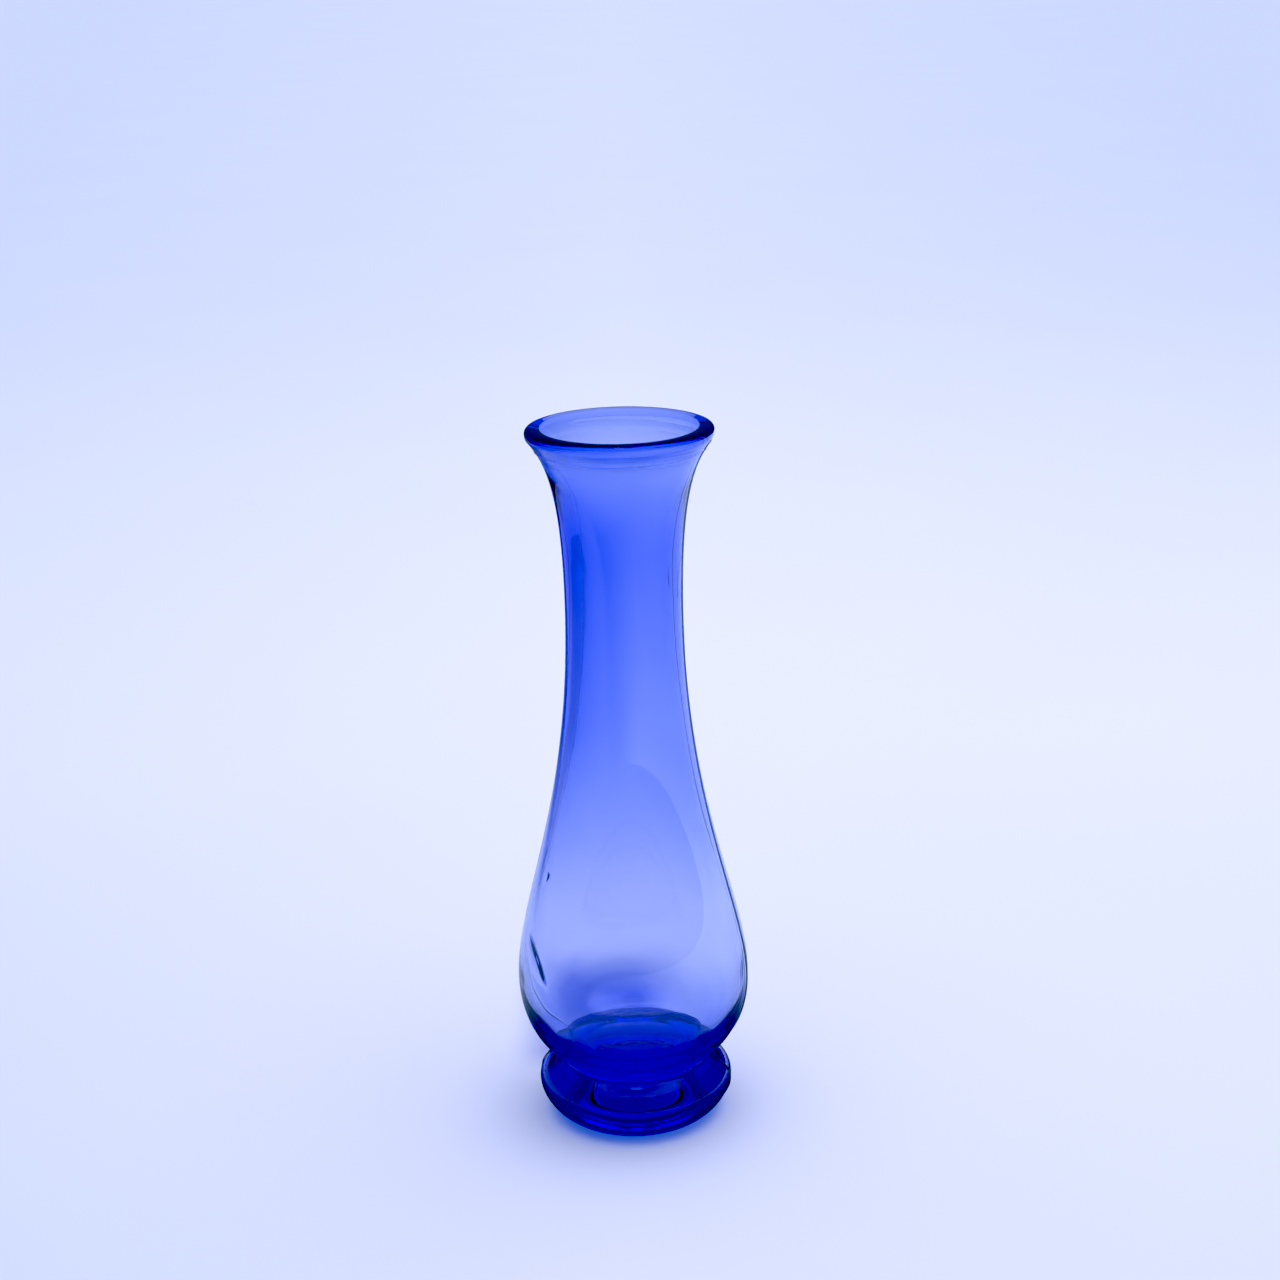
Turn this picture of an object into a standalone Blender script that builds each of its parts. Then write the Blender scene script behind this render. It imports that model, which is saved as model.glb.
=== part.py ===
"""Glass bud vase: one turned body of blown glass, in metres, standing on Z = 0 with its axis on +Z.

The lip, neck, bulb, waist and foot are regions of a single gather, so the object is a single node.
"""

import math

import bmesh
import bpy

MM = 0.001

# Overall sizes, in millimetres
HEIGHT = 220.0  # top of the lip above the floor
BULB_RADIUS = 35.72  # widest part of the body
BULB_Z = 47.0
NECK_RADIUS = 17.58  # narrowest part of the neck
NECK_Z = 165.4
RIM_RADIUS = 27.8  # outermost edge of the lip
FOOT_RADIUS = 30.1  # widest part of the solid foot
FOOT_Z = 11.6

# Lip: distances in from the rim's edge and down from its crest
LIP_WIDTH = 4.85  # from the rim's edge in to the mouth
CREST_INSET = 1.5
CREST_WIDTH = 2.75  # the flattened top of the lip
LIP_DROP = 1.5  # from the crest down to the lip's two edges
JOIN_INSET = 0.6  # where the lip runs into the neck
JOIN_DROP = 3.4

# Waist, the pinched groove between bulb and foot
WAIST_RADIUS = 22.8
WAIST_TOP_Z = 21.37
GROOVE_DEPTH = 1.0
GROOVE_WIDTH = 2.76

# Underside
BEARING_RADIUS = 20.0  # outer edge of the ring that the vase stands on
BEARING_WIDTH = 5.0
PUNT_HEIGHT = 2.6  # rise of the hollow under the foot

# Walls and cavity
NECK_WALL = 4.4
NECK_WALL_RISE = 12.0  # the cavity's narrowest point, above the neck's
BULB_WALL = 1.35
BULB_WALL_RISE = 1.0
FLOOR_RADIUS = 17.0  # where the cavity's floor turns up into its wall
FLOOR_EDGE_DROP = 2.7  # that turn, below the top of the waist groove
FLOOR_DISH = 1.4  # how far the floor's middle lies below that turn

# Shapes of the curves: how far the handle at each end reaches, as shares of the curve's width and height
FLOOR_SHAPE = ((0.39, 0.0), (0.33, 0.5))
CAVITY_TUCK_SHAPE = ((0.03, 0.19), (0.0, 0.72))
CAVITY_SHOULDER_SHAPE = ((0.0, 0.2), (0.0, 0.605))
CAVITY_FLARE_SHAPE = ((0.0, 0.455), (0.437, 0.3))
LIP_SHAPE = ((0.0, 0.42), (0.75, 0.28))
FLARE_SHAPE = ((0.628, 0.142), (0.0, 0.633))
SHOULDER_SHAPE = ((0.0, 0.544), (0.0, 0.193))
TUCK_SHAPE = ((0.0, 0.55), (0.463, 0.12))
GROOVE_SHAPE = ((0.7, 0.2), (0.0, 0.43))
FOOT_SHAPE = ((0.43, 0.142), (0.0, 0.502))
FOOT_UNDER_SHAPE = ((0.0, 0.448), (0.455, 0.052))
PUNT_SHAPE = ((0.093, 0.577), (0.6, 0.0))

STEPS = 48  # flats round the turned body
MERGE_DISTANCE = 0.00001  # closes the poles
GLASS = (0.10, 0.16, 0.86, 1.0)
GLASS_ROUGHNESS = 0.02
GLASS_IOR = 1.5


def curve(start, shape, end, count):
    """The count points of a cubic curve that follow its start point, the end point among them."""
    span = (end[0] - start[0], end[1] - start[1])
    leave = tuple(start[k] + span[k] * shape[0][k] for k in (0, 1))
    arrive = tuple(end[k] - span[k] * shape[1][k] for k in (0, 1))
    ends = (start, leave, arrive, end)
    points = []
    for i in range(1, count + 1):
        t = i / count
        weights = ((1 - t) ** 3, 3 * (1 - t) ** 2 * t, 3 * (1 - t) * t * t, t**3)
        points.append(tuple(sum(w * p[k] for w, p in zip(weights, ends)) for k in (0, 1)))
    return points


def quarter(start, corner, end, count):
    """A quarter of an ellipse from start to end, bulging towards corner."""
    points = []
    for i in range(1, count + 1):
        angle = math.pi / 2 * i / count
        across = math.sin(angle)
        along = 1 - math.cos(angle)
        points.append(
            tuple(start[k] + (corner[k] - start[k]) * across + (end[k] - corner[k]) * along for k in (0, 1))
        )
    return points


def cavity_wall():
    """From the middle of the cavity's floor up to the inner edge of the lip."""
    edge = (FLOOR_RADIUS, WAIST_TOP_Z - FLOOR_EDGE_DROP)
    middle = (0.0, edge[1] - FLOOR_DISH)
    bulb = (BULB_RADIUS - BULB_WALL, BULB_Z + BULB_WALL_RISE)
    neck = (NECK_RADIUS - NECK_WALL, NECK_Z + NECK_WALL_RISE)
    mouth = (RIM_RADIUS - LIP_WIDTH, HEIGHT - LIP_DROP)
    return (
        [middle]
        + curve(middle, FLOOR_SHAPE, edge, 5)
        + curve(edge, CAVITY_TUCK_SHAPE, bulb, 9)
        + curve(bulb, CAVITY_SHOULDER_SHAPE, neck, 11)
        + curve(neck, CAVITY_FLARE_SHAPE, mouth, 8)
    )


def lip_and_flare():
    """From the lip's inner edge over the crest and down the outside of the neck to its narrowest point."""
    inner = (RIM_RADIUS - LIP_WIDTH, HEIGHT - LIP_DROP)
    crest = (RIM_RADIUS - CREST_INSET, HEIGHT)
    crest_inner = (crest[0] - CREST_WIDTH, HEIGHT)
    edge = (RIM_RADIUS, HEIGHT - LIP_DROP)
    join = (RIM_RADIUS - JOIN_INSET, HEIGHT - JOIN_DROP)
    neck = (NECK_RADIUS, NECK_Z)
    return (
        quarter(inner, (inner[0], HEIGHT), crest_inner, 3)
        + [crest]
        + quarter(crest, (RIM_RADIUS, HEIGHT), edge, 3)
        + curve(edge, LIP_SHAPE, join, 2)
        + curve(join, FLARE_SHAPE, neck, 8)
    )


def shoulder_and_bulb():
    """From the neck's narrowest point down round the bulb to the top of the waist groove."""
    neck = (NECK_RADIUS, NECK_Z)
    bulb = (BULB_RADIUS, BULB_Z)
    groove = (WAIST_RADIUS + GROOVE_DEPTH, WAIST_TOP_Z)
    return curve(neck, SHOULDER_SHAPE, bulb, 12) + curve(bulb, TUCK_SHAPE, groove, 8)


def waist_and_foot():
    """Round the waist groove, over the foot and under it to the middle of the punt."""
    top = (WAIST_RADIUS + GROOVE_DEPTH, WAIST_TOP_Z)
    middle = (WAIST_RADIUS, WAIST_TOP_Z - GROOVE_WIDTH / 2)
    bottom = (top[0], WAIST_TOP_Z - GROOVE_WIDTH)
    foot = (FOOT_RADIUS, FOOT_Z)
    bearing = (BEARING_RADIUS, 0.0)
    punt = (BEARING_RADIUS - BEARING_WIDTH, 0.0)
    return (
        curve(top, GROOVE_SHAPE, middle, 2)
        + curve(middle, GROOVE_SHAPE[::-1], bottom, 2)
        + curve(bottom, FOOT_SHAPE, foot, 6)
        + curve(foot, FOOT_UNDER_SHAPE, bearing, 7)
        + [punt]
        + curve(punt, PUNT_SHAPE, (0.0, PUNT_HEIGHT), 5)
    )


def glass_material():
    """Blue transparent glass."""
    material = bpy.data.materials.new("blue_glass")
    material.use_nodes = True
    shader = material.node_tree.nodes["Principled BSDF"]
    shader.inputs["Base Color"].default_value = GLASS
    shader.inputs["Roughness"].default_value = GLASS_ROUGHNESS
    shader.inputs["IOR"].default_value = GLASS_IOR
    shader.inputs["Transmission Weight"].default_value = 1.0
    return material


def turned(name, profile, collection):
    """A closed body turned from a profile that runs down its outer side, both ends on the axis."""
    mesh = bpy.data.meshes.new(name)
    build = bmesh.new()
    verts = [build.verts.new((r * MM, 0.0, z * MM)) for r, z in profile]
    for first, second in zip(verts, verts[1:]):
        build.edges.new((first, second))
    build.to_mesh(mesh)
    build.free()
    body = bpy.data.objects.new(name, mesh)
    collection.objects.link(body)
    screw = body.modifiers.new("Turn", "SCREW")
    screw.axis = "Z"
    screw.angle = math.tau
    screw.steps = STEPS
    screw.render_steps = STEPS
    screw.use_merge_vertices = True
    screw.merge_threshold = MERGE_DISTANCE
    screw.use_smooth_shade = True
    return body


def main():
    for old in list(bpy.data.objects):
        bpy.data.objects.remove(old)
    collection = bpy.data.collections.new("glass_bud_vase")
    bpy.context.scene.collection.children.link(collection)
    profile = cavity_wall() + lip_and_flare() + shoulder_and_bulb() + waist_and_foot()
    vase = turned("vase_body", profile, collection)
    vase.data.materials.append(glass_material())


main()
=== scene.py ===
"""Blue glass bud vase on a pale studio floor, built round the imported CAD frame."""

import logging
import math
from dataclasses import dataclass, field
from enum import Enum

import bpy
from mathutils import Matrix, Vector


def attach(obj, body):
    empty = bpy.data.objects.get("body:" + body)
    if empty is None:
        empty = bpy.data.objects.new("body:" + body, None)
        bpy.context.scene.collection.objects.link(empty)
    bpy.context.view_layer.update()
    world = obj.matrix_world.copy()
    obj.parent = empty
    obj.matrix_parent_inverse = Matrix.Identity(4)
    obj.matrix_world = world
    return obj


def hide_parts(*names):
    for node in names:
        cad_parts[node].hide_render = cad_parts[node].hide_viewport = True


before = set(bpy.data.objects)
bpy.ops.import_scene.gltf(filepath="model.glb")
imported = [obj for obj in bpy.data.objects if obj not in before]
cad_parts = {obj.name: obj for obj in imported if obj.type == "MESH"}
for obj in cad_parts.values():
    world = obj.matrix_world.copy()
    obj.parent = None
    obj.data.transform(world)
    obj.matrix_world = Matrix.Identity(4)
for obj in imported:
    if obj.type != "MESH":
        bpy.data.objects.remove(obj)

log = logging.getLogger("bud_vase")

MM = 0.001
CAMERA_BACK = 0.6926  # metres in front of the vase's axis
CLOSE = 0.01 * MM  # points nearer than this are the same point
COLOUR_A, COLOUR_B, COLOUR_RESULT = 6, 7, 2  # a Mix node's colour sockets, by number
BLACK_LEVEL = (0.05, 0.025, 0.0)  # of the view's curve, for each colour
GLASS_BOUNCES = 24  # how often light may turn in the thick glass
MIRROR_BOUNCES = 16
Point = tuple[float, float]
Shape = tuple[Point, Point]
Colour = tuple[float, float, float, float]
Inputs = dict[str | int, object]


def curve(start: Point, shape: Shape, end: Point, count: int) -> list[Point]:
    """Points along a cubic curve, without its start.

    Args:
        start: First end of the curve.
        shape: How far the handle at each end reaches, as shares of the curve's width and height.
        end: Last end of the curve.
        count: How many points to give.

    Returns:
        The points after the start, the end among them.
    """
    span = (end[0] - start[0], end[1] - start[1])
    leave = tuple(start[k] + span[k] * shape[0][k] for k in (0, 1))
    arrive = tuple(end[k] - span[k] * shape[1][k] for k in (0, 1))
    points = []
    for step in range(1, count + 1):
        t = step / count
        weights = ((1 - t) ** 3, 3 * (1 - t) ** 2 * t, 3 * (1 - t) * t * t, t**3)
        handles = (start, leave, arrive, end)
        points.append(tuple(sum(w * p[k] for w, p in zip(weights, handles)) for k in (0, 1)))
    return points


def quarter(start: Point, corner: Point, end: Point, count: int) -> list[Point]:
    """Points along a quarter of an ellipse that bulges towards a corner, without its start.

    Args:
        start: First end of the arc.
        corner: Corner of the box that the arc is drawn in.
        end: Last end of the arc.
        count: How many points to give.

    Returns:
        The points after the start, the end among them.
    """
    points = []
    for step in range(1, count + 1):
        angle = math.pi / 2 * step / count
        across, along = math.sin(angle), 1 - math.cos(angle)
        points.append(
            tuple(start[k] + (corner[k] - start[k]) * across + (end[k] - corner[k]) * along for k in (0, 1))
        )
    return points


def soft_band(value: float, low: float, high: float, fade: float) -> float:
    """A smooth weight that is 1 between two values and fades to 0 outside them.

    Args:
        value: Where to take the weight.
        low: Lower end of the full weight.
        high: Upper end of the full weight.
        fade: Distance over which it fades at each end.

    Returns:
        The weight, from 0 to 1.
    """
    outside = max(low - value, value - high, 0.0) / fade
    return 0.5 + 0.5 * math.cos(math.pi * min(outside, 1.0))


@dataclass(frozen=True)
class NodeDesk:
    """Adds shader nodes to one tree and joins them."""

    tree: bpy.types.NodeTree

    def add(self, kind: str, inputs: Inputs | None = None, **settings: object) -> bpy.types.Node:
        """Adds a node.

        Args:
            kind: The node's type, without the ShaderNode in front.
            inputs: Values or sockets for its inputs, by name or number.
            settings: Values for the node's own settings.

        Returns:
            The node.
        """
        node = self.tree.nodes.new("ShaderNode" + kind)
        for name, value in settings.items():
            setattr(node, name, value)
        for name, value in (inputs or {}).items():
            self.feed(node.inputs[name], value)
        return node

    def feed(self, socket: bpy.types.NodeSocket, value: object) -> None:
        """Joins a socket to another one, or sets its value.

        Args:
            socket: The input to set.
            value: A socket to join to it, or a plain value.
        """
        if isinstance(value, bpy.types.NodeSocket):
            self.tree.links.new(value, socket)
        else:
            socket.default_value = value

    def math(self, operation: str, first: object, second: object = 0.0) -> bpy.types.NodeSocket:
        """The result of one operation on two values."""
        return self.add("Math", {0: first, 1: second}, operation=operation).outputs["Value"]

    def fade(
        self, value: object, low: float, high: float, start: float, end: float
    ) -> bpy.types.NodeSocket:
        """A smooth step between two values.

        Args:
            value: What the step follows.
            low: Where the step begins.
            high: Where the step ends.
            start: The value up to the beginning.
            end: The value from the end on.

        Returns:
            The socket that gives the stepped value.
        """
        ends = {"Value": value, "From Min": low, "From Max": high, "To Min": start, "To Max": end}
        return self.add("MapRange", ends, interpolation_type="SMOOTHSTEP").outputs["Result"]

    def place(self, output: str = "Object") -> bpy.types.NodeSocket:
        """The place on the surface, in the object's own space."""
        return self.add("TexCoord").outputs[output]

    def axes(self, vector: bpy.types.NodeSocket) -> bpy.types.NodeOutputs:
        """A vector's three parts, by the names X, Y and Z."""
        return self.add("SeparateXYZ", {"Vector": vector}).outputs

    def reach(self, place: bpy.types.NodeSocket) -> bpy.types.NodeSocket:
        """How far a place is from the object's origin."""
        return self.add("VectorMath", {0: place}, operation="LENGTH").outputs["Value"]

    def blend(self, share: object, first: object, second: object) -> bpy.types.NodeSocket:
        """A colour between two others."""
        inputs = {"Factor": share, COLOUR_A: first, COLOUR_B: second}
        return self.add("Mix", inputs, data_type="RGBA").outputs[COLOUR_RESULT]

    def graph(self, value: object, points: tuple[Point, ...]) -> bpy.types.NodeSocket:
        """Reads a value off a smooth graph.

        Args:
            value: What to look up.
            points: The graph's points, from 0 to 1.

        Returns:
            The socket that gives the graph's height there.
        """
        node = self.add("FloatCurve", {"Value": value})
        drawn = node.mapping.curves[0].points
        drawn[0].location, drawn[1].location = points[0], points[-1]
        for x, y in points[1:-1]:
            drawn.new(x, y)
        node.mapping.update()
        return node.outputs["Value"]


class Group(Enum):
    """The vertex groups that pick out parts of the glass."""

    INNER_WALL = "inner_wall"
    BORE = "bore"
    CHILL_MARK = "chill_mark"


@dataclass(frozen=True)
class VaseOutline:
    """Sizes of the turned glass, in millimetres, and the curves that they give.

    The curves start on the axis at the floor of the cavity, run up the inner wall, over the lip,
    down the outer wall and under the foot, and end on the axis. The ring's profile pairs a height,
    in half widths, with a share of its step.
    """

    height: float = 220.0
    bulb: Point = (35.72, 47.0)
    neck: Point = (17.58, 165.4)
    foot: Point = (30.1, 11.6)
    rim_radius: float = 27.8
    lip_width: float = 4.85
    crest_inset: float = 1.5
    crest_width: float = 2.75
    lip_drop: float = 1.5
    join_inset: float = 0.6
    join_drop: float = 3.4
    waist_radius: float = 22.8
    waist_top: float = 21.37
    groove_depth: float = 1.0
    groove_width: float = 2.76
    bearing_radius: float = 20.0
    bearing_width: float = 5.0
    punt_height: float = 2.6
    neck_wall: float = 4.4
    neck_wall_rise: float = 12.0
    bulb_wall: float = 1.35
    bulb_wall_rise: float = 1.0
    floor_radius: float = 17.0
    floor_edge_drop: float = 2.7
    floor_dish: float = 1.4
    ring_drop: float = 6.4
    ring_step: float = 0.2
    ring_half_width: float = 0.22
    ring_profile: tuple[Point, ...] = ((2.0, 0.0), (1.0, 0.35), (0.0, 1.0), (-1.0, 0.3), (-2.0, 0.0))
    floor_shape: Shape = ((0.39, 0.0), (0.33, 0.5))
    cavity_tuck_shape: Shape = ((0.03, 0.19), (0.0, 0.72))
    cavity_shoulder_shape: Shape = ((0.0, 0.2), (0.0, 0.605))
    cavity_flare_shape: Shape = ((0.0, 0.455), (0.437, 0.3))
    lip_shape: Shape = ((0.0, 0.42), (0.75, 0.28))
    flare_shape: Shape = ((0.628, 0.142), (0.0, 0.633))
    shoulder_shape: Shape = ((0.0, 0.544), (0.0, 0.193))
    tuck_shape: Shape = ((0.0, 0.55), (0.463, 0.12))
    groove_shape: Shape = ((0.7, 0.2), (0.0, 0.43))
    foot_shape: Shape = ((0.43, 0.142), (0.0, 0.502))
    foot_under_shape: Shape = ((0.0, 0.448), (0.455, 0.052))
    bearing_shape: Shape = ((0.3, 0.0), (0.3, 0.0))
    punt_shape: Shape = ((0.093, 0.577), (0.6, 0.0))

    def inner_wall(self) -> list[Point]:
        """The cavity, from the middle of its floor to the inner edge of the lip.

        Returns:
            The wall's points, the two ends among them.
        """
        edge = (self.floor_radius, self.waist_top - self.floor_edge_drop)
        middle = (0.0, edge[1] - self.floor_dish)
        bulb = (self.bulb[0] - self.bulb_wall, self.bulb[1] + self.bulb_wall_rise)
        neck = (self.neck[0] - self.neck_wall, self.neck[1] + self.neck_wall_rise)
        return (
            [middle]
            + curve(middle, self.floor_shape, edge, 16)
            + curve(edge, self.cavity_tuck_shape, bulb, 34)
            + curve(bulb, self.cavity_shoulder_shape, neck, 44)
            + curve(neck, self.cavity_flare_shape, self.mouth(), 30)
        )

    def mouth(self) -> Point:
        """The lip's inner edge."""
        return (self.rim_radius - self.lip_width, self.height - self.lip_drop)

    def lip(self) -> list[Point]:
        """The fire-polished lip, from its inner edge to where it joins the neck.

        Returns:
            The lip's points after its inner edge.
        """
        inner = self.mouth()
        crest = (self.rim_radius - self.crest_inset, self.height)
        edge = (self.rim_radius, self.height - self.lip_drop)
        crest_inner = (crest[0] - self.crest_width, self.height)
        return (
            quarter(inner, (inner[0], self.height), crest_inner, 10)
            + [((crest[0] + crest_inner[0]) / 2, self.height), crest]
            + quarter(crest, (self.rim_radius, self.height), edge, 12)
            + curve(edge, self.lip_shape, self.lip_join(), 6)
        )

    def lip_join(self) -> Point:
        """Where the lip runs into the flare of the neck."""
        return (self.rim_radius - self.join_inset, self.height - self.join_drop)

    def neck_and_bulb(self) -> list[Point]:
        """The outer wall, from under the lip to the top of the waist groove.

        Returns:
            The wall's points after the lip's last one.
        """
        join = self.lip_join()
        groove = (self.waist_radius + self.groove_depth, self.waist_top)
        flare = curve(join, self.flare_shape, self.neck, 40)
        return (
            self.with_parting_ring(join, flare)
            + curve(self.neck, self.shoulder_shape, self.bulb, 48)
            + curve(self.bulb, self.tuck_shape, groove, 30)
        )

    def with_parting_ring(self, start: Point, flare: list[Point]) -> list[Point]:
        """Adds the fine raised ring that the mould's neck ring leaves on the flare.

        Args:
            start: The point that the flare starts from.
            flare: The flare's points, from the top down.

        Returns:
            The flare with the ring's points among its own.
        """
        ring_z = self.height - self.ring_drop
        marks = []
        for offset, rise in self.ring_profile:
            z = ring_z + offset * self.ring_half_width
            above = min((p for p in [start] + flare if p[1] >= z), key=lambda p: p[1])
            under = max((p for p in flare if p[1] < z), key=lambda p: p[1])
            share = (z - under[1]) / (above[1] - under[1])
            radius = under[0] + (above[0] - under[0]) * share
            marks.append((radius + rise * self.ring_step, z))
        clear = [p for p in flare if abs(p[1] - ring_z) > 3 * self.ring_half_width]
        return sorted(clear + marks, key=lambda p: -p[1])

    def foot_and_punt(self) -> list[Point]:
        """Round the waist groove, over the foot and under it to the axis.

        Returns:
            The points after the top of the groove, the last one on the axis.
        """
        top = (self.waist_radius + self.groove_depth, self.waist_top)
        middle = (self.waist_radius, self.waist_top - self.groove_width / 2)
        bottom = (top[0], self.waist_top - self.groove_width)
        bearing = (self.bearing_radius, 0.0)
        punt = (self.bearing_radius - self.bearing_width, 0.0)
        return (
            curve(top, self.groove_shape, middle, 6)
            + curve(middle, self.groove_shape[::-1], bottom, 6)
            + curve(bottom, self.foot_shape, self.foot, 20)
            + curve(self.foot, self.foot_under_shape, bearing, 24)
            + curve(bearing, self.bearing_shape, punt, 4)
            + curve(punt, self.punt_shape, (0.0, self.punt_height), 16)
        )

    def points(self) -> list[Point]:
        """The whole outline, in millimetres, from axis to axis."""
        return self.inner_wall() + self.lip() + self.neck_and_bulb() + self.foot_and_punt()


@dataclass(frozen=True)
class BlueGlass:
    """Clear cobalt-blue soda-lime glass, lightly handled and rubbed under the foot."""

    name: str = "blue_glass"
    ior: float = 1.52
    absorption: Colour = (0.0, 0.18, 0.945, 1.0)
    density: float = 228.0
    smudge: float = 0.025
    smudge_scale: float = 26.0
    smudge_range: Point = (0.52, 0.78)
    rubbed: float = 0.3
    rubbed_range: Point = (0.0009, 0.0002)
    cord_height: float = 0.00005
    cord_scale: float = 75.0
    cord_stretch: float = 0.22
    seed_height: float = 0.00015
    seed_scale: float = 75.0
    seed_range: Point = (0.045, 0.01)
    seedless: float = 0.86

    def material(self) -> bpy.types.Material:
        """Makes the material, with smudges in its roughness and cords and seeds in its surface.

        Returns:
            The glass's material.
        """
        material = bpy.data.materials.new(self.name)
        material.use_nodes = True
        desk = NodeDesk(material.node_tree)
        shader = desk.tree.nodes["Principled BSDF"]
        desk.feed(shader.inputs["Base Color"], (1.0, 1.0, 1.0, 1.0))
        desk.feed(shader.inputs["IOR"], self.ior)
        desk.feed(shader.inputs["Transmission Weight"], 1.0)
        place = desk.place()
        desk.feed(shader.inputs["Roughness"], self.roughness(desk, place))
        desk.feed(shader.inputs["Normal"], self.surface(desk, place))
        volume = desk.add("VolumeAbsorption", {"Color": self.absorption, "Density": self.density})
        desk.feed(desk.tree.nodes["Material Output"].inputs["Volume"], volume.outputs["Volume"])
        return material

    def roughness(self, desk: NodeDesk, place: bpy.types.NodeSocket) -> bpy.types.NodeSocket:
        """Faint finger smudges, and the rubbed ring that the vase stands on.

        Args:
            desk: The glass's nodes.
            place: The place on the surface.

        Returns:
            The socket that gives the roughness.
        """
        look = {"Vector": place, "Scale": self.smudge_scale, "Detail": 4.0, "Roughness": 0.6}
        noise = desk.add("TexNoise", look).outputs["Fac"]
        smudge = desk.fade(noise, *self.smudge_range, 0.0, self.smudge)
        rubbed = desk.fade(desk.axes(place)["Z"], *self.rubbed_range, 0.0, self.rubbed)
        return desk.math("ADD", smudge, rubbed)

    def surface(self, desk: NodeDesk, place: bpy.types.NodeSocket) -> bpy.types.NodeSocket:
        """Fine upright cords in the glass and a few tiny seeds.

        Args:
            desk: The glass's nodes.
            place: The place on the surface.

        Returns:
            The socket that gives the surface's normal.
        """
        stretch = {"Vector": place, "Scale": (1.0, 1.0, self.cord_stretch)}
        tall = desk.add("Mapping", stretch).outputs["Vector"]
        waves = desk.add("TexNoise", {"Vector": tall, "Scale": self.cord_scale, "Detail": 1.0})
        cells = desk.add("TexVoronoi", {"Vector": place, "Scale": self.seed_scale}).outputs
        chosen = desk.math("GREATER_THAN", desk.axes(cells["Color"])["X"], self.seedless)
        round_seeds = desk.fade(cells["Distance"], *self.seed_range, 0.0, 1.0)
        seeds = desk.math("MULTIPLY", round_seeds, chosen)
        cords = {"Strength": 1.0, "Distance": self.cord_height, "Height": waves.outputs["Fac"]}
        smooth = desk.add("Bump", cords).outputs["Normal"]
        pits = {"Strength": 1.0, "Distance": self.seed_height, "Height": seeds, "Normal": smooth}
        return desk.add("Bump", pits).outputs["Normal"]


@dataclass(frozen=True)
class MouldSeam:
    """The two fine lines that the halves of the mould leave down the outside, and a nub on the foot.

    The angle is in degrees from +X, and the other sizes are in millimetres. The lines start at
    foot_clear above the floor.
    """

    angle: float = -11.0
    rise: float = 0.035
    half_width: float = 0.28
    nub_z: float = 13.0
    nub_rise: float = 0.3
    nub_reach: float = 0.5
    foot_clear: float = 1.0


@dataclass(frozen=True)
class ChillMark:
    """A small pinch in the inner wall, where colder iron chilled the hot glass.

    Its middle is at a bearing round the axis, in degrees from +X, and at a height, and it reaches
    sideways and upwards from there. Slant is how far it moves round the wall for each step up.
    """

    bearing: float
    z: float
    reach: Point
    depth: float
    slant: float = 0.0

    def weight(self, place: Vector) -> float:
        """How far the pinch is felt at a place on the wall.

        Args:
            place: The place, in metres.

        Returns:
            The weight, from 0 to 1.
        """
        rise = place.z / MM - self.z
        radius = math.hypot(place.x, place.y) / MM
        turn = math.remainder(math.atan2(place.y, place.x) - math.radians(self.bearing), math.tau)
        across = turn * radius - self.slant * rise
        distance = math.hypot(across / self.reach[0], rise / self.reach[1])
        return soft_band(distance, low=0.0, high=0.0, fade=1.0)


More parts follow.
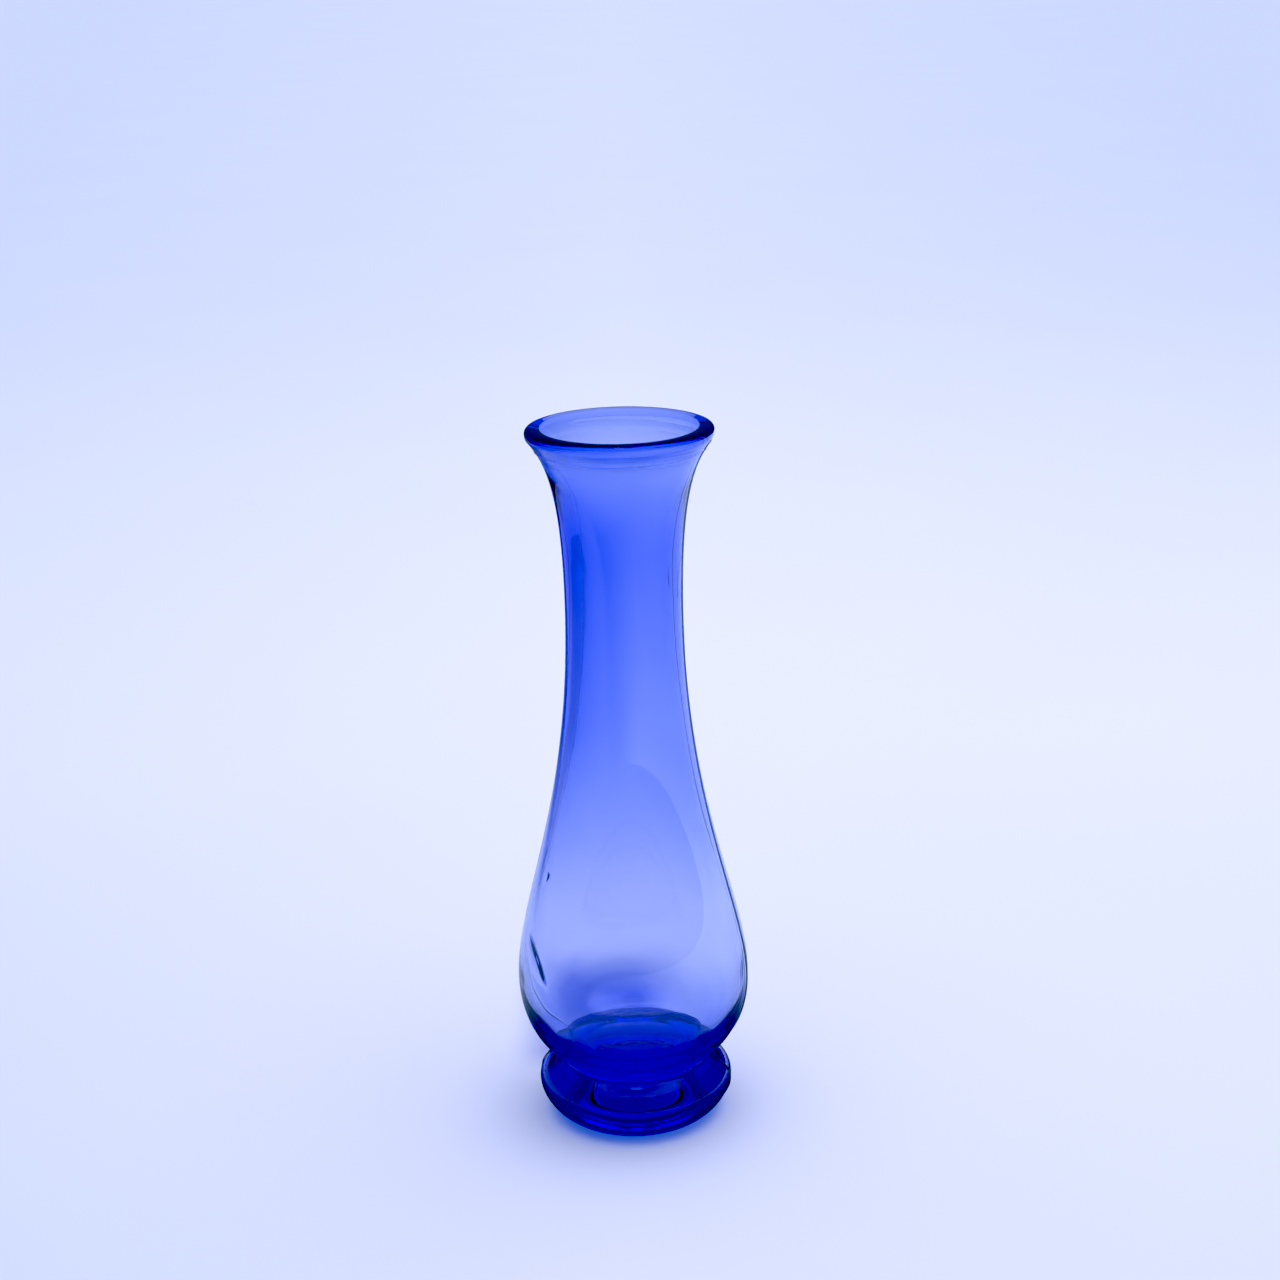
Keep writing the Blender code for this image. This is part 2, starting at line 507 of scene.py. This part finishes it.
@dataclass
class VaseBody:
    """The one piece of glass: lip, neck, bulb, waist and foot, turned from a single outline.

    Sizes are in millimetres. The inner wall is wavy between smooth_below and smooth_above, and the
    bore leans to one side within lean_range.
    """

    outline: VaseOutline = field(default_factory=VaseOutline)
    seam: MouldSeam = field(default_factory=MouldSeam)
    glass: BlueGlass = field(default_factory=BlueGlass)
    columns: int = 160
    ripple: float = 0.16
    ripple_size: float = 9.0
    smooth_below: float = 28.0
    smooth_above: float = 206.0
    smooth_fade: float = 10.0
    lean: float = 0.4
    lean_range: Point = (135.0, 200.0)
    lean_fade: float = 30.0
    chill_marks: tuple[ChillMark, ...] = (
        ChillMark(bearing=-151.5, z=57.5, reach=(5.0, 7.5), depth=1.3, slant=-0.9),
        ChillMark(bearing=-6.0, z=174.4, reach=(1.3, 7.0), depth=0.6, slant=0.2),
        ChillMark(bearing=-156.5, z=83.2, reach=(0.9, 1.6), depth=0.3),
    )
    mark_cuts: int = 4

    def build(self) -> bpy.types.Object:
        """Turns the glass, adds what the mould and the blowing leave, and dresses it.

        Returns:
            The finished piece.
        """
        vase = self.draw_outline()
        self.turn(vase)
        self.mark_inner_wall(vase)
        self.raise_seams(vase)
        for mark in self.chill_marks:
            self.pinch(vase, mark)
        self.shift_cavity(vase)
        self.ripple_cavity(vase)
        vase.data.shade_smooth()
        vase.data.materials.clear()
        vase.data.materials.append(self.glass.material())
        return vase

    def draw_outline(self) -> bpy.types.Object:
        """Draws the outline as a chain of edges at the seam's angle.

        Returns:
            The piece, with nothing but the outline in it.
        """
        bpy.ops.object.select_all(action="DESELECT")
        points = self.outline.points()
        bpy.ops.mesh.primitive_plane_add(size=1.0, location=(0.0, 0.0, 0.0))
        vase = bpy.context.object
        vase.name = "vase_glass"
        vase.data.name = "vase_glass"
        bpy.ops.object.mode_set(mode="EDIT")
        bpy.ops.mesh.merge(type="CENTER")
        bpy.ops.transform.translate(value=self.place(points[0]))
        for before, after in zip(points, points[1:]):
            step = self.place(after) - self.place(before)
            bpy.ops.mesh.extrude_vertices_move(TRANSFORM_OT_translate={"value": step})
        bpy.ops.object.mode_set(mode="OBJECT")
        return vase

    def place(self, point: Point) -> Vector:
        """A point of the outline in metres, turned to the seam's angle."""
        turn = math.radians(self.seam.angle)
        return Vector((point[0] * math.cos(turn), point[0] * math.sin(turn), point[1])) * MM

    def turn(self, vase: bpy.types.Object) -> None:
        """Spins the outline round the axis and closes it.

        Args:
            vase: The piece that holds the outline.
        """
        bpy.ops.object.mode_set(mode="EDIT")
        bpy.ops.mesh.select_all(action="SELECT")
        bpy.ops.mesh.spin(steps=self.columns, angle=math.tau, center=(0, 0, 0), axis=(0, 0, 1))
        bpy.ops.mesh.select_all(action="SELECT")
        bpy.ops.mesh.remove_doubles(threshold=CLOSE)
        bpy.ops.mesh.normals_make_consistent(inside=False)
        bpy.ops.object.mode_set(mode="OBJECT")

    def mark_inner_wall(self, vase: bpy.types.Object) -> None:
        """Puts the cavity's points in a group, faded out towards the lip and the floor.

        Args:
            vase: The glass.
        """
        group = vase.vertex_groups.new(name=Group.INNER_WALL.value)
        wall = self.outline.inner_wall()
        for vert in vase.data.vertices:
            radius, z = math.hypot(vert.co.x, vert.co.y) / MM, vert.co.z / MM
            near = min(math.hypot(radius - p[0], z - p[1]) for p in wall)
            if near * MM < CLOSE:
                weight = soft_band(z, self.smooth_below, self.smooth_above, self.smooth_fade)
                group.add([vert.index], weight, "REPLACE")

    def on_inner_wall(self, vase: bpy.types.Object) -> set[int]:
        """Finds the cavity's points.

        Args:
            vase: The glass.

        Returns:
            The points' indices.
        """
        inner = vase.vertex_groups[Group.INNER_WALL.value].index
        verts = vase.data.vertices
        return {vert.index for vert in verts if any(entry.group == inner for entry in vert.groups)}

    def pinch(self, vase: bpy.types.Object, mark: ChillMark) -> None:
        """Divides the inner wall finely at a mark and raises the glass there.

        Args:
            vase: The glass.
            mark: The pinch to make.
        """
        bpy.ops.object.mode_set(mode="EDIT")
        bpy.ops.mesh.select_mode(type="FACE")
        bpy.ops.mesh.select_all(action="DESELECT")
        bpy.ops.object.mode_set(mode="OBJECT")
        wall = self.on_inner_wall(vase)
        for face in vase.data.polygons:
            face.select = mark.weight(face.center) > 0.0 and wall.issuperset(face.vertices)
        bpy.ops.object.mode_set(mode="EDIT")
        bpy.ops.mesh.subdivide(number_cuts=self.mark_cuts)
        bpy.ops.mesh.select_mode(type="VERT")
        bpy.ops.object.mode_set(mode="OBJECT")
        group = vase.vertex_groups.new(name=Group.CHILL_MARK.value)
        wall = self.on_inner_wall(vase)
        for vert in vase.data.vertices:
            share = mark.weight(vert.co) if vert.index in wall else 0.0
            if share > 0.0:
                group.add([vert.index], share, "REPLACE")
        raised = vase.modifiers.new("Pinch", "DISPLACE")
        raised.vertex_group = group.name
        raised.mid_level = 0.0
        raised.strength = mark.depth * MM
        bpy.ops.object.modifier_apply(modifier=raised.name)
        vase.vertex_groups.remove(vase.vertex_groups[Group.CHILL_MARK.value])

    def shift_cavity(self, vase: bpy.types.Object) -> None:
        """Sets the neck's bore a little to one side, so that one wall is thicker than the other.

        Args:
            vase: The glass.
        """
        group = vase.vertex_groups.new(name=Group.BORE.value)
        for index in self.on_inner_wall(vase):
            z = vase.data.vertices[index].co.z / MM
            group.add([index], soft_band(z, *self.lean_range, self.lean_fade), "REPLACE")
        move = vase.modifiers.new("Bore", "DISPLACE")
        move.direction = "X"
        move.vertex_group = group.name
        move.mid_level = 0.0
        move.strength = self.lean * MM
        bpy.ops.object.modifier_apply(modifier=move.name)

    def ripple_cavity(self, vase: bpy.types.Object) -> None:
        """Gives the inner wall the slight waviness of blown glass.

        Args:
            vase: The glass.
        """
        clouds = bpy.data.textures.new("blown_ripple", "CLOUDS")
        clouds.noise_scale = self.ripple_size * MM
        clouds.noise_depth = 1
        waves = vase.modifiers.new("Ripple", "DISPLACE")
        waves.texture = clouds
        waves.vertex_group = Group.INNER_WALL.value
        waves.mid_level = 0.5
        waves.strength = self.ripple * MM
        bpy.ops.object.modifier_apply(modifier=waves.name)

    def raise_seams(self, vase: bpy.types.Object) -> None:
        """Raises a fine ridge down both sides of the outer wall, and the nub where it crosses the foot.

        Args:
            vase: The glass.
        """
        seam = self.seam
        turn = math.radians(seam.angle)
        across = Vector((-math.sin(turn), math.cos(turn), 0.0))
        along = Vector((math.cos(turn), math.sin(turn), 0.0))
        bpy.ops.object.mode_set(mode="EDIT")
        for side in (-1, 1):
            bpy.ops.mesh.select_all(action="SELECT")
            bpy.ops.mesh.bisect(plane_co=across * side * seam.half_width * MM, plane_no=across)
        bpy.ops.mesh.select_all(action="DESELECT")
        bpy.ops.mesh.select_mode(type="VERT")
        bpy.ops.object.mode_set(mode="OBJECT")
        inner = self.on_inner_wall(vase)
        outline = self.outline
        # the middle line of each ridge, clear of the cavity, the lip, the floor and the punt
        crest = [
            vert
            for vert in vase.data.vertices
            if abs(vert.co.dot(across)) < CLOSE
            and vert.index not in inner
            and seam.foot_clear < vert.co.z / MM < outline.height - outline.join_drop
            and abs(vert.co.dot(along)) > outline.bearing_radius * MM / 2
        ]
        self.swell(vase, [vert.index for vert in crest], seam.rise)
        nub = [
            vert.index
            for vert in crest
            if vert.co.dot(along) > 0 and abs(vert.co.z / MM - seam.nub_z) < seam.nub_reach
        ]
        self.swell(vase, nub, seam.nub_rise)

    def swell(self, vase: bpy.types.Object, picked: list[int], rise: float) -> None:
        """Moves some points out along their normals.

        Args:
            vase: The glass.
            picked: Indices of the points.
            rise: How far they move, in millimetres.
        """
        chosen = set(picked)
        for vert in vase.data.vertices:
            vert.select = vert.index in chosen
        bpy.ops.object.mode_set(mode="EDIT")
        bpy.ops.transform.shrink_fatten(value=rise * MM)
        bpy.ops.object.mode_set(mode="OBJECT")


@dataclass(frozen=True)
class UnseenLight:
    """Dresses a flat piece as a light that the glass sees and the camera doesn't."""

    piece: bpy.types.Object

    def desk(self) -> NodeDesk:
        """Gives the piece an empty material.

        Returns:
            The desk for the material's nodes.
        """
        material = bpy.data.materials.new(self.piece.name)
        material.use_nodes = True
        self.piece.data.materials.append(material)
        desk = NodeDesk(material.node_tree)
        desk.tree.nodes.remove(desk.tree.nodes["Principled BSDF"])
        return desk

    def shine(self, desk: NodeDesk, colour: Colour, strength: object, share: object) -> None:
        """Makes the piece glow.

        Args:
            desk: The material's nodes.
            colour: Colour of the glow.
            strength: Strength of the glow.
            share: How much of the piece glows, where the rest is clear.
        """
        glow = desk.add("Emission", {"Color": colour, "Strength": strength}).outputs["Emission"]
        clear = desk.add("BsdfTransparent").outputs["BSDF"]
        mix = desk.add("MixShader", {"Fac": share, 1: clear, 2: glow})
        desk.feed(desk.tree.nodes["Material Output"].inputs["Surface"], mix.outputs["Shader"])

    def hide(self, through_glass: bool = False) -> None:
        """Hides the piece from all but the glass.

        Args:
            through_glass: Whether it shows through the glass as well as in its reflections.
        """
        self.piece.visible_camera = False
        self.piece.visible_diffuse = False
        self.piece.visible_shadow = False
        self.piece.visible_transmission = through_glass


@dataclass(frozen=True)
class Card:
    """A soft-edged upright card, placed by its middle and turned by its heading, in degrees.

    The fade is the share of its width and of its height over which each edge softens.
    """

    name: str
    middle: tuple[float, float, float]
    size: Point
    heading: float
    colour: Colour
    strength: float
    fade: Point = (0.4, 0.3)
    through_glass: bool = False

    def build(self) -> None:
        """Makes the card, with a glow that fades to nothing at its edges."""
        bpy.ops.object.select_all(action="DESELECT")
        bpy.ops.mesh.primitive_plane_add(size=1.0, location=(0.0, 0.0, 0.0))
        card = bpy.context.object
        card.name = self.name
        stretch = Matrix.Diagonal((self.size[0], self.size[1], 1.0, 1.0))
        stand = Matrix.Rotation(math.radians(90.0), 4, "X")
        turn = Matrix.Rotation(math.radians(self.heading), 4, "Z")
        card.data.transform(Matrix.Translation(self.middle) @ turn @ stand @ stretch)
        light = UnseenLight(card)
        desk = light.desk()
        axes = desk.axes(desk.place("UV"))
        edges = [
            desk.fade(desk.math("PINGPONG", axes[axis], 0.5), 0.0, fade, 0.0, 1.0)
            for axis, fade in zip("XY", self.fade)
        ]
        light.shine(desk, self.colour, self.strength, desk.math("MULTIPLY", *edges))
        light.hide(self.through_glass)


@dataclass(frozen=True)
class OverheadLamp:
    """A small round lamp straight above, which draws the thin bright lines on the foot and the waist."""

    height: float = 1.6
    radius: float = 0.13
    colour: Colour = (0.8, 0.9, 1.3, 1.0)
    strength: float = 4.5

    def build(self) -> None:
        """Makes the lamp, brightest in the middle."""
        bpy.ops.object.select_all(action="DESELECT")
        bpy.ops.mesh.primitive_circle_add(
            vertices=48, radius=self.radius, fill_type="NGON", location=(0, 0, self.height)
        )
        lamp = bpy.context.object
        lamp.name = "overhead_lamp"
        light = UnseenLight(lamp)
        desk = light.desk()
        strength = desk.fade(desk.reach(desk.place()), self.radius / 2, self.radius, self.strength, 0.0)
        light.shine(desk, self.colour, strength, 1.0)
        light.hide()


@dataclass(frozen=True)
class FloorSheen:
    """The lit floor as the glass mirrors it: bright on the right and near by, dim far off on the left.

    It is a disc just above the floor, and it is clear close to the foot, which stands through it.
    """

    radius: float = 1.5
    height: float = 0.0004
    colour: Colour = (0.68, 0.8, 1.3, 1.0)
    right: float = 1.5
    right_range: Point = (-0.3, 0.4)
    near: float = 0.8
    near_range: Point = (0.4, 0.28)
    foot_range: Point = (0.045, 0.13)

    def build(self) -> None:
        """Makes the disc."""
        bpy.ops.object.select_all(action="DESELECT")
        bpy.ops.mesh.primitive_circle_add(
            vertices=64, radius=self.radius, fill_type="NGON", location=(0, 0, self.height)
        )
        sheen = bpy.context.object
        sheen.name = "floor_sheen"
        light = UnseenLight(sheen)
        desk = light.desk()
        place = desk.place()
        reach = desk.reach(place)
        right = desk.fade(desk.axes(place)["X"], *self.right_range, 0.0, self.right)
        near = desk.fade(reach, *self.near_range, 0.0, self.near)
        clear_of_foot = desk.fade(reach, *self.foot_range, 0.0, 1.0)
        light.shine(desk, self.colour, desk.math("MAXIMUM", right, near), clear_of_foot)
        light.hide()


@dataclass(frozen=True)
class PaleFloor:
    """A wide, pale, matt floor, with the light's falloff and the vase's blue light and blue shadow painted
    into it.

    Distances are in metres. The painted falloff's points pair a depth, which is depth_scale over the
    distance from the camera, with the share of the painted shaded tone.
    """

    radius: float = 9.0
    # painted shade: the floor's lit and shaded tones, which the painted falloff blends between in its
    # colour
    light: Colour = (0.794, 0.773, 0.82, 1.0)
    shade: Colour = (0.6, 0.625, 0.75, 1.0)
    falloff_points: tuple[Point, ...] = (
        (0.0, 0.75), (0.083, 0.7), (0.2, 0.575), (0.284, 0.32), (0.371, 0.1), (0.46, 0.0),
        (0.556, 0.08), (0.65, 0.16), (0.72, 0.2), (0.83, 0.32), (1.0, 0.4),
    )
    depth_scale: float = 0.5
    nearest: float = 0.1
    side_falloff: float = 1.5
    side_falloff_near: float = 0.2
    side_falloff_range: Point = (0.1, 0.5)
    patch_scale: float = 5.0
    patch_depth: float = 0.12
    roughness: float = 0.9
    grain_scale: float = 900.0
    grain_strength: float = 0.1
    grain_height: float = 0.0003
    # painted shadow: colour and place of the blue shadow painted into the floor behind the bulb
    painted_shadow_colour: Colour = (0.22, 0.24, 0.6, 1.0)
    painted_shadow_x: float = -0.01
    painted_shadow_width_range: Point = (0.01, 0.034)
    painted_shadow_near_range: Point = (0.02, 0.04)
    painted_shadow_far_range: Point = (0.066, 0.122)
    # painted light: the floor glows blue round the foot and a little beyond, standing in for light that has
    # passed through the glass
    painted_glow_colour: Colour = (0.03, 0.16, 0.9, 1.0)
    glow: float = 0.4
    painted_glow_range: Point = (0.022, 0.036)
    painted_spill: float = 0.12
    painted_spill_range: Point = (0.03, 0.085)

    def build(self) -> None:
        """Makes the floor."""
        bpy.ops.object.select_all(action="DESELECT")
        bpy.ops.mesh.primitive_circle_add(vertices=96, radius=self.radius, fill_type="TRIFAN")
        floor = bpy.context.object
        floor.name = "floor"
        floor.data.materials.append(self.material())
        floor.visible_glossy = False

    def material(self) -> bpy.types.Material:
        """Makes the floor's material.

        Returns:
            The material, fine-grained and without gloss.
        """
        material = bpy.data.materials.new("pale_floor")
        material.use_nodes = True
        desk = NodeDesk(material.node_tree)
        shader = desk.tree.nodes["Principled BSDF"]
        place = desk.place()
        # painted shade: the floor's colour goes from its lit tone to its shaded tone as the light falls off
        tone = desk.blend(self.falloff(desk, place), self.light, self.shade)
        # painted shadow: the blue shadow behind the bulb is painted into the floor's colour
        with_painted_shadow = desk.blend(self.painted_blue_shadow(desk, place), tone, self.painted_shadow_colour)
        grain = desk.add("TexNoise", {"Vector": place, "Scale": self.grain_scale, "Detail": 3.0})
        bumps = {
            "Strength": self.grain_strength,
            "Distance": self.grain_height,
            "Height": grain.outputs["Fac"],
        }
        reach = desk.reach(place)
        # painted light: a blue glow painted as the floor's emission close round the foot
        glow = desk.fade(reach, *self.painted_glow_range, self.glow, 0.0)
        painted_spill = desk.fade(reach, *self.painted_spill_range, self.painted_spill, 0.0)
        desk.feed(shader.inputs["Base Color"], with_painted_shadow)
        desk.feed(shader.inputs["Normal"], desk.add("Bump", bumps).outputs["Normal"])
        desk.feed(shader.inputs["Roughness"], self.roughness)
        desk.feed(shader.inputs["Specular IOR Level"], 0.0)
        desk.feed(shader.inputs["Emission Color"], self.painted_glow_colour)
        desk.feed(shader.inputs["Emission Strength"], desk.math("MAXIMUM", glow, painted_spill))
        return material

    def falloff(self, desk: NodeDesk, place: bpy.types.NodeSocket) -> bpy.types.NodeSocket:
        """Painted shade: how far the light has fallen off with distance and towards the sides, painted into
        the floor's colour, with broad soft patches of random tone.

        Args:
            desk: The floor's nodes.
            place: The place on the floor.

        Returns:
            The socket that gives the share of the painted shaded tone.
        """
        axes = desk.axes(place)
        away = desk.math("MAXIMUM", desk.math("ADD", axes["Y"], CAMERA_BACK), self.nearest)
        depth = desk.math("DIVIDE", self.depth_scale, away)
        bearing = desk.math("DIVIDE", axes["X"], away)
        leftward = desk.math("MAXIMUM", desk.math("MULTIPLY", bearing, -1.0), 0.0)
        left = desk.math("MULTIPLY", leftward, self.side_falloff)
        slope = desk.fade(
            depth, *self.side_falloff_range, self.side_falloff, self.side_falloff_near
        )
        right = desk.math("MULTIPLY", desk.math("MAXIMUM", bearing, 0.0), slope)
        patches = desk.add("TexNoise", {"Vector": place, "Scale": self.patch_scale, "Detail": 2.0})
        centred = desk.math("SUBTRACT", patches.outputs["Fac"], 0.5)
        mottle = desk.math("MULTIPLY", centred, self.patch_depth)
        sides = desk.math("ADD", desk.math("ADD", left, right), mottle)
        return desk.math("ADD", desk.graph(depth, self.falloff_points), sides)

    def painted_blue_shadow(self, desk: NodeDesk, place: bpy.types.NodeSocket) -> bpy.types.NodeSocket:
        """A soft blue shadow painted into the floor's colour close behind the bulb, standing in for the
        shadow it throws.

        Args:
            desk: The floor's nodes.
            place: The place on the floor.

        Returns:
            The socket that gives the painted shadow's depth.
        """
        axes = desk.axes(place)
        aside = desk.math("ABSOLUTE", desk.math("SUBTRACT", axes["X"], self.painted_shadow_x))
        across = desk.fade(aside, *self.painted_shadow_width_range, 1.0, 0.0)
        near = desk.fade(axes["Y"], *self.painted_shadow_near_range, 0.0, 1.0)
        far = desk.fade(axes["Y"], *self.painted_shadow_far_range, 1.0, 0.0)
        return desk.math("MULTIPLY", across, desk.math("MULTIPLY", near, far))


@dataclass(frozen=True)
class SoftSky:
    """A pale wall all round, a soft light overhead and dimness between them, brighter on the right.

    The two ranges are heights above the horizon, in degrees.
    """

    colour: Colour = (0.83, 0.89, 1.12, 1.0)
    wall_range: Point = (26.0, 14.0)
    overhead_range: Point = (48.0, 62.0)
    overhead: float = 2.6
    gap: float = 0.3
    key_side: float = 0.35

    def build(self) -> None:
        """Makes the light and puts it round the scene."""
        world = bpy.data.worlds.new("studio_light")
        world.use_nodes = True
        desk = NodeDesk(world.node_tree)
        back = desk.tree.nodes["Background"]
        axes = desk.axes(desk.place("Generated"))
        wall_ends, overhead_ends = (
            [math.sin(math.radians(a)) for a in ends] for ends in (self.wall_range, self.overhead_range)
        )
        wall = desk.fade(axes["Z"], *wall_ends, self.gap, 1.0)
        above = desk.fade(axes["Z"], *overhead_ends, 0.0, self.overhead)
        key = desk.math("ADD", 1.0, desk.math("MULTIPLY", axes["X"], self.key_side))
        desk.feed(back.inputs["Color"], self.colour)
        desk.feed(back.inputs["Strength"], desk.math("MULTIPLY", desk.math("ADD", wall, above), key))
        world.cycles_visibility.glossy = False
        bpy.context.scene.world = world


@dataclass(frozen=True)
class StudioCamera:
    """The camera, in front of the vase and looking slightly down at it; its angles are in degrees."""

    up: float = 0.3746
    pitch: float = 17.63
    heading: float = 0.378
    roll: float = 1.372
    lens: float = 68.39
    sensor_width: float = 36.0
    clip: Point = (0.01, 50.0)

    def build(self) -> None:
        """Makes the camera and looks through it."""
        data = bpy.data.cameras.new("camera")
        data.lens = self.lens
        data.sensor_width = self.sensor_width
        data.clip_start, data.clip_end = self.clip
        camera = bpy.data.objects.new("camera", data)
        bpy.context.scene.collection.objects.link(camera)
        heading, pitch, roll = (math.radians(a) for a in (self.heading, self.pitch, self.roll))
        right = Vector((math.cos(heading), -math.sin(heading), 0.0))
        level = Vector((math.sin(heading), math.cos(heading), 0.0))
        forward = level * math.cos(pitch) - Vector((0, 0, math.sin(pitch)))
        up = level * math.sin(pitch) + Vector((0, 0, math.cos(pitch)))
        side = right * math.cos(roll) - up * math.sin(roll)
        top = right * math.sin(roll) + up * math.cos(roll)
        turned = Matrix((side, top, -forward)).transposed().to_4x4()
        camera.matrix_world = Matrix.Translation((0.0, -CAMERA_BACK, self.up)) @ turned
        bpy.context.scene.camera = camera


@dataclass
class Studio:
    """The pale floor, the soft light all round, the cards and the camera."""

    floor: PaleFloor = field(default_factory=PaleFloor)
    sky: SoftSky = field(default_factory=SoftSky)
    sheen: FloorSheen = field(default_factory=FloorSheen)
    lamp: OverheadLamp = field(default_factory=OverheadLamp)
    cards: tuple[Card, ...] = (
        Card(
            name="shade_left",
            middle=(-0.30, 0.1, 0.03),
            size=(1.5, 0.2),
            heading=90.0,
            colour=(0.5, 0.55, 0.92, 1.0),
            strength=0.9,
            fade=(0.3, 0.45),
            through_glass=True,
        ),
        Card(
            name="back_wall",
            middle=(0.0, 0.6, 0.39),
            size=(1.8, 0.3),
            heading=0.0,
            colour=(0.22, 0.3, 1.0, 1.0),
            strength=0.3,
            fade=(0.2, 0.2),
        ),
    )
    camera: StudioCamera = field(default_factory=StudioCamera)

    def build(self) -> None:
        """Makes each part of the studio in turn."""
        for part in (self.floor, self.sky, self.sheen, self.lamp, *self.cards, self.camera):
            part.build()


def set_view() -> None:
    """Sets how light becomes colour and how often it may bounce."""
    scene = bpy.context.scene
    scene.view_settings.view_transform = "Standard"
    scene.view_settings.use_curve_mapping = True
    scene.view_settings.curve_mapping.black_level = BLACK_LEVEL
    scene.view_settings.curve_mapping.update()
    scene.cycles.max_bounces = GLASS_BOUNCES
    scene.cycles.transmission_bounces = GLASS_BOUNCES
    scene.cycles.glossy_bounces = MIRROR_BOUNCES


def main() -> None:
    """Builds the studio and the vase round the frame."""
    logging.basicConfig(level=logging.INFO, format="%(name)s: %(message)s")
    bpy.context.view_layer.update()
    Studio().build()
    vase = VaseBody().build()
    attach(vase, "root")
    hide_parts("vase_body")
    log.info("%s: %d faces", vase.name, len(vase.data.polygons))
    set_view()
    bpy.context.view_layer.update()


if __name__ == "__main__":
    main()
